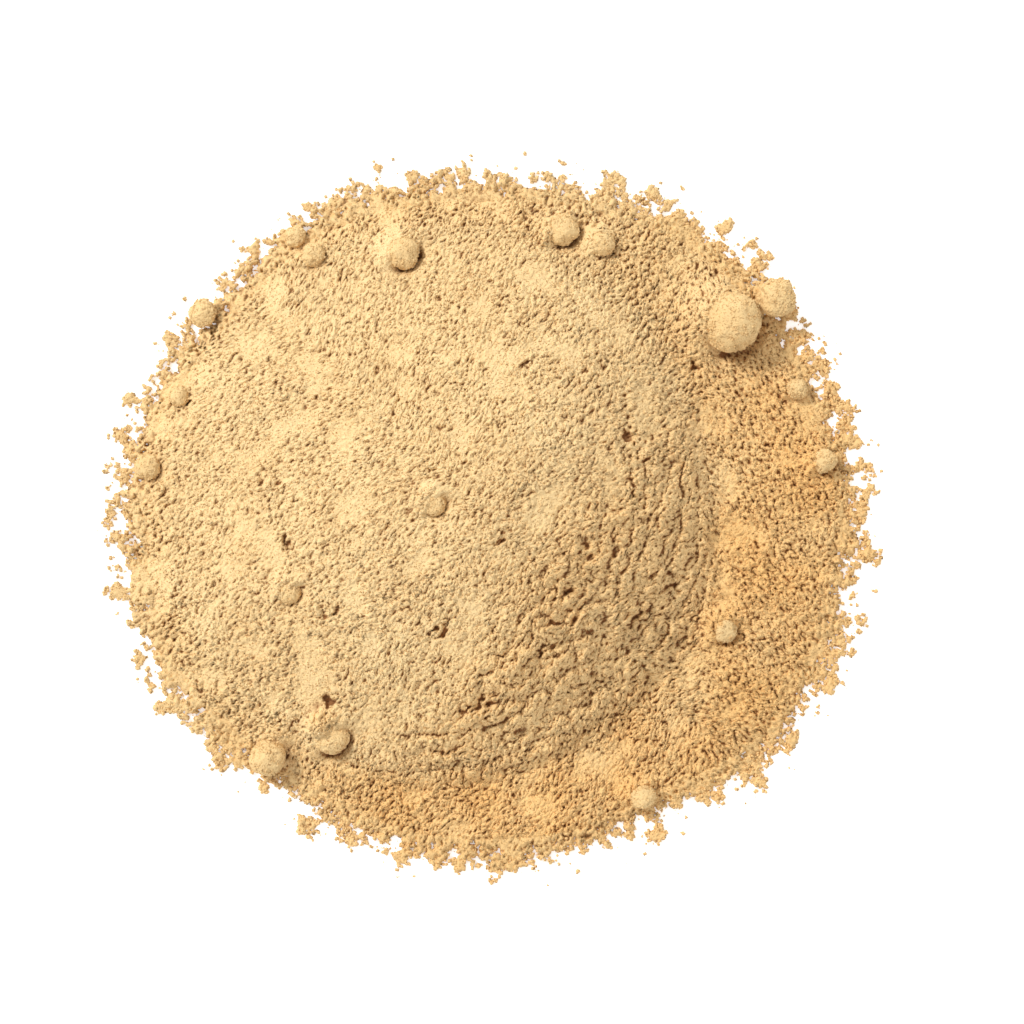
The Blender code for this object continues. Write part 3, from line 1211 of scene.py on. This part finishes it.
class NodeBoard:
    """A material's nodes, with short calls to add and join them."""

    def __init__(self, name: str) -> None:
        """Starts a material with its Principled shader.

        Args:
            name: The material's name.
        """
        self.material = bpy.data.materials.new(name)
        self.material.use_nodes = True
        self.tree = self.material.node_tree
        self.shader = self.tree.nodes["Principled BSDF"]
        self.place = self.add("ShaderNodeTexCoord").outputs["Object"]

    def add(self, kind: str, **settings: object) -> bpy.types.Node:
        """Adds a node and sets its properties.

        Args:
            kind: The node's type.
            settings: Its properties by name.

        Returns:
            The node.
        """
        node = self.tree.nodes.new(kind)
        for name, value in settings.items():
            setattr(node, name, value)
        return node

    def join(self, source: object, target: bpy.types.NodeSocket) -> None:
        """Links a socket, or sets a plain value, on the target.

        Args:
            source: A socket, a number or a colour.
            target: The socket that gets it.
        """
        if isinstance(source, bpy.types.NodeSocket):
            self.tree.links.new(source, target)
        else:
            target.default_value = source

    def noise(self, size: float, detail: float = 2.0, roughness: float = 0.5) -> bpy.types.NodeSocket:
        """Noise over the object.

        Args:
            size: Distance over which it changes, in metres.
            detail: How many finer layers it has.
            roughness: How strong those layers are.

        Returns:
            The noise's value, about 0.2 to 0.8.
        """
        node = self.add("ShaderNodeTexNoise")
        self.join(self.place, node.inputs["Vector"])
        self.join(1 / size, node.inputs["Scale"])
        self.join(detail, node.inputs["Detail"])
        self.join(roughness, node.inputs["Roughness"])
        return node.outputs["Fac"]

    def mark(self, mark: Mark) -> bpy.types.NodeSocket:
        """The mesh's own numbers under that name."""
        return self.add("ShaderNodeAttribute", attribute_name=mark.value).outputs["Fac"]

    def ramp(self, value: object, low: float, high: float, start: float = 0.0, end: float = 1.0) -> object:
        """The value mapped from one span to another and held there.

        Args:
            value: The value's socket.
            low: Value that gives start.
            high: Value that gives end.
            start: Result at low.
            end: Result at high.

        Returns:
            The result's socket.
        """
        node = self.add("ShaderNodeMapRange")
        for index, source in enumerate((value, low, high, start, end)):
            self.join(source, node.inputs[index])
        return node.outputs["Result"]

    def maths(self, operation: str, first: object, second: object) -> bpy.types.NodeSocket:
        """One sum on two values.

        Args:
            operation: What is done with them.
            first: A number or a socket.
            second: A number or a socket.

        Returns:
            The result's socket.
        """
        node = self.add("ShaderNodeMath", operation=operation)
        self.join(first, node.inputs[0])
        self.join(second, node.inputs[1])
        return node.outputs[0]

    def mix(self, share: object, first: object, second: object) -> object:
        """Two colours mixed by a share.

        Args:
            share: How much of the second, 0 to 1.
            first: A colour or a socket.
            second: A colour or a socket.

        Returns:
            The mixed colour's socket.
        """
        node = self.add("ShaderNodeMix", data_type="RGBA", blend_type="MIX")
        self.join(share, node.inputs[0])
        for source, socket in ((first, node.inputs[6]), (second, node.inputs[7])):
            self.join((*source, 1.0) if isinstance(source, tuple) else source, socket)
        return node.outputs[2]

    def bump(self, height: object, strength: float, distance: float, under: object = None) -> object:
        """Fine relief from a height.

        Args:
            height: The height's socket.
            strength: Share of the relief that shows.
            distance: Height that a value of 1 stands for, in metres.
            under: Normal of a coarser bump that this one lies on.

        Returns:
            The new normal's socket.
        """
        node = self.add("ShaderNodeBump")
        self.join(height, node.inputs["Height"])
        self.join(strength, node.inputs["Strength"])
        self.join(distance, node.inputs["Distance"])
        if under is not None:
            self.join(under, node.inputs["Normal"])
        return node.outputs["Normal"]


@dataclass(frozen=True)
class PowderFinish:
    """Dry ground ginger: matt, pale tan, more orange where thin; painted shade in hollows, painted warm
    shade on the flank.
    """

    name: str
    pale: Colour = (0.88, 0.66, 0.35)
    plain: Colour = (0.81, 0.565, 0.275)
    warm: Colour = (0.86, 0.535, 0.215)
    # colour of the painted shade in pits, cracks and hollows
    painted_shade: Colour = (0.25, 0.095, 0.03)
    fibre: Colour = (0.37, 0.165, 0.045)
    mottle: float = 1.0  # how strongly the specks of fibre show
    cloud_size: float = 9.0 * MM  # of the broad changes of tone
    clump_size: float = 0.7 * MM  # of the close ones
    speck_size: float = 0.2 * MM
    speck_patch: float = 0.8 * MM
    grit_size: float = 0.17 * MM
    dust_size: float = 0.2 * MM / 3
    relief: float = 0.13 * MM

    def make(self) -> bpy.types.Material:
        """Builds the material.

        Returns:
            The material.
        """
        board = NodeBoard(self.name)
        close = board.ramp(board.noise(self.clump_size, 3.0), 0.3, 0.7)
        board.join(self._colour(board, close), board.shader.inputs["Base Color"])
        board.join(board.ramp(close, 0, 1, 0.88, 0.98), board.shader.inputs["Roughness"])
        board.join(0.15, board.shader.inputs["Specular IOR Level"])
        coarse = board.bump(board.noise(self.grit_size, 2.0, 0.6), 1.0, self.relief)
        fine = board.bump(board.noise(self.dust_size, 1.0), 0.6, self.relief / 3, coarse)
        board.join(fine, board.shader.inputs["Normal"])
        return board.material

    def _colour(self, board: NodeBoard, close: bpy.types.NodeSocket) -> bpy.types.NodeSocket:
        """The powder's colour: clouds and clumps of tone, then specks of fibre, then painted shade in the
        hollows.

        Args:
            board: The material's nodes.
            close: The close changes of tone, 0 to 1.

        Returns:
            The colour's socket.
        """
        wide = board.ramp(board.noise(self.cloud_size), 0.35, 0.65)
        tone = board.maths("ADD", board.maths("MULTIPLY", wide, 0.45), board.maths("MULTIPLY", close, 0.35))
        tone = board.maths("ADD", tone, board.ramp(board.mark(Mark.TINT), 0, 1, -0.18, 0.42))
        colour = board.mix(tone, self.plain, self.pale)
        # more orange where the powder lies thin, and painted warm shade on the steep flank, from the warmth
        # mark
        colour = board.mix(board.mark(Mark.WARMTH), colour, self.warm)
        gathered = board.ramp(board.noise(self.speck_patch, 1.0), 0.36, 0.62, 0.35, 1.0)
        specks = board.ramp(board.noise(self.speck_size, 1.0, 0.5), 0.43, 0.35, 0.0, 0.95 * self.mottle)
        colour = board.mix(board.maths("MULTIPLY", specks, gathered), colour, self.fibre)
        # painted shade: the colour darkens towards the shade brown in pits, cracks and hollows
        hollow_shade_share = board.ramp(board.mark(Mark.PAINTED_HOLLOW_SHADE), 0.15, 1.0, 0.0, 0.9)
        return board.mix(hollow_shade_share, colour, self.painted_shade)


@dataclass(frozen=True)
class Studio:
    """White table, soft light from the upper left and a camera straight above."""

    picture_width: float = 122.9 * MM  # of the table, seen from above
    lens: float = 230.0
    sensor: float = 36.0
    middle: tuple[float, float] = (2.2 * MM, 1.0 * MM)  # point of the table under the camera
    sun_strength: float = 2.4
    sun_colour: Colour = (1.0, 0.985, 0.955)
    sun_angle: float = math.radians(11)  # how broad it looks
    sun_height: float = math.radians(43)
    sun_from: float = math.radians(142)
    sky: float = 0.84
    table_size: float = 3.0
    table_gap: float = 0.01 * MM  # below the heap
    table_colour: Colour = (0.93, 0.93, 0.93)
    table_glow: float = 0.42

    def build(self) -> None:
        """Sets up the table, the lights and the camera."""
        self._table()
        self._light()
        self._camera()
        bpy.context.scene.view_settings.view_transform = "Standard"

    def _table(self) -> None:
        """A broad white table just under the heap."""
        top = bmesh.new()
        bmesh.ops.create_grid(top, x_segments=1, y_segments=1, size=self.table_size)
        bmesh.ops.translate(top, verts=top.verts, vec=(0, 0, -self.table_gap))
        mesh = bpy.data.meshes.new("table")
        top.to_mesh(mesh)
        top.free()
        board = NodeBoard("white_table")
        board.join((*self.table_colour, 1.0), board.shader.inputs["Base Color"])
        board.join(0.9, board.shader.inputs["Roughness"])
        board.join((1.0, 1.0, 1.0, 1.0), board.shader.inputs["Emission Color"])
        board.join(self.table_glow, board.shader.inputs["Emission Strength"])
        mesh.materials.append(board.material)
        table = bpy.data.objects.new("table", mesh)
        bpy.context.scene.collection.objects.link(table)

    def _light(self) -> None:
        """A broad sun from the upper left, and an even white sky."""
        lamp = bpy.data.lights.new("key", "SUN")
        lamp.energy, lamp.angle, lamp.color = self.sun_strength, self.sun_angle, self.sun_colour
        key = bpy.data.objects.new("key", lamp)
        flat = math.cos(self.sun_height)
        source = Vector((
            math.cos(self.sun_from) * flat, math.sin(self.sun_from) * flat, math.sin(self.sun_height)
        ))
        key.rotation_euler = source.to_track_quat("Z", "Y").to_euler()
        bpy.context.scene.collection.objects.link(key)
        world = bpy.data.worlds.new("sky")
        world.use_nodes = True
        background = world.node_tree.nodes["Background"].inputs
        background["Color"].default_value = (1.0, 1.0, 1.0, 1.0)
        background["Strength"].default_value = self.sky
        bpy.context.scene.world = world

    def _camera(self) -> None:
        """A long lens that looks straight down."""
        data = bpy.data.cameras.new("camera")
        data.lens, data.sensor_width = self.lens, self.sensor
        camera = bpy.data.objects.new("camera", data)
        camera.location = (*self.middle, self.picture_width * self.lens / self.sensor)
        bpy.context.scene.collection.objects.link(camera)
        bpy.context.scene.camera = camera


def main() -> None:
    """Builds the heap and its setting."""
    logging.basicConfig(level=logging.INFO, format="%(name)s %(message)s")
    Studio().build()
    powder = PowderFinish("ground_ginger").make()
    caked = PowderFinish(
        "caked_ginger", plain=(0.74, 0.515, 0.245), pale=(0.81, 0.595, 0.305), mottle=0.8
    ).make()
    loose = PowderFinish("loose_ginger", plain=(0.77, 0.52, 0.24), mottle=0.9).make()
    form = PowderForm()
    surface = PowderSurface(form, Relief(form, lump_seats()))
    kit = GrainKit()
    surface.build(powder)
    for index, node in enumerate(LUMP_NODES, 1):
        CakedLump(node, index).build(caked)
    LumpGrains(kit).build(caked)
    SurfaceGrains(surface, kit).build(powder)
    lace = Lace(surface)
    LooseCrust(lace).build(loose)
    LooseGrains(lace, kit).build(loose)


if __name__ == "__main__":
    main()
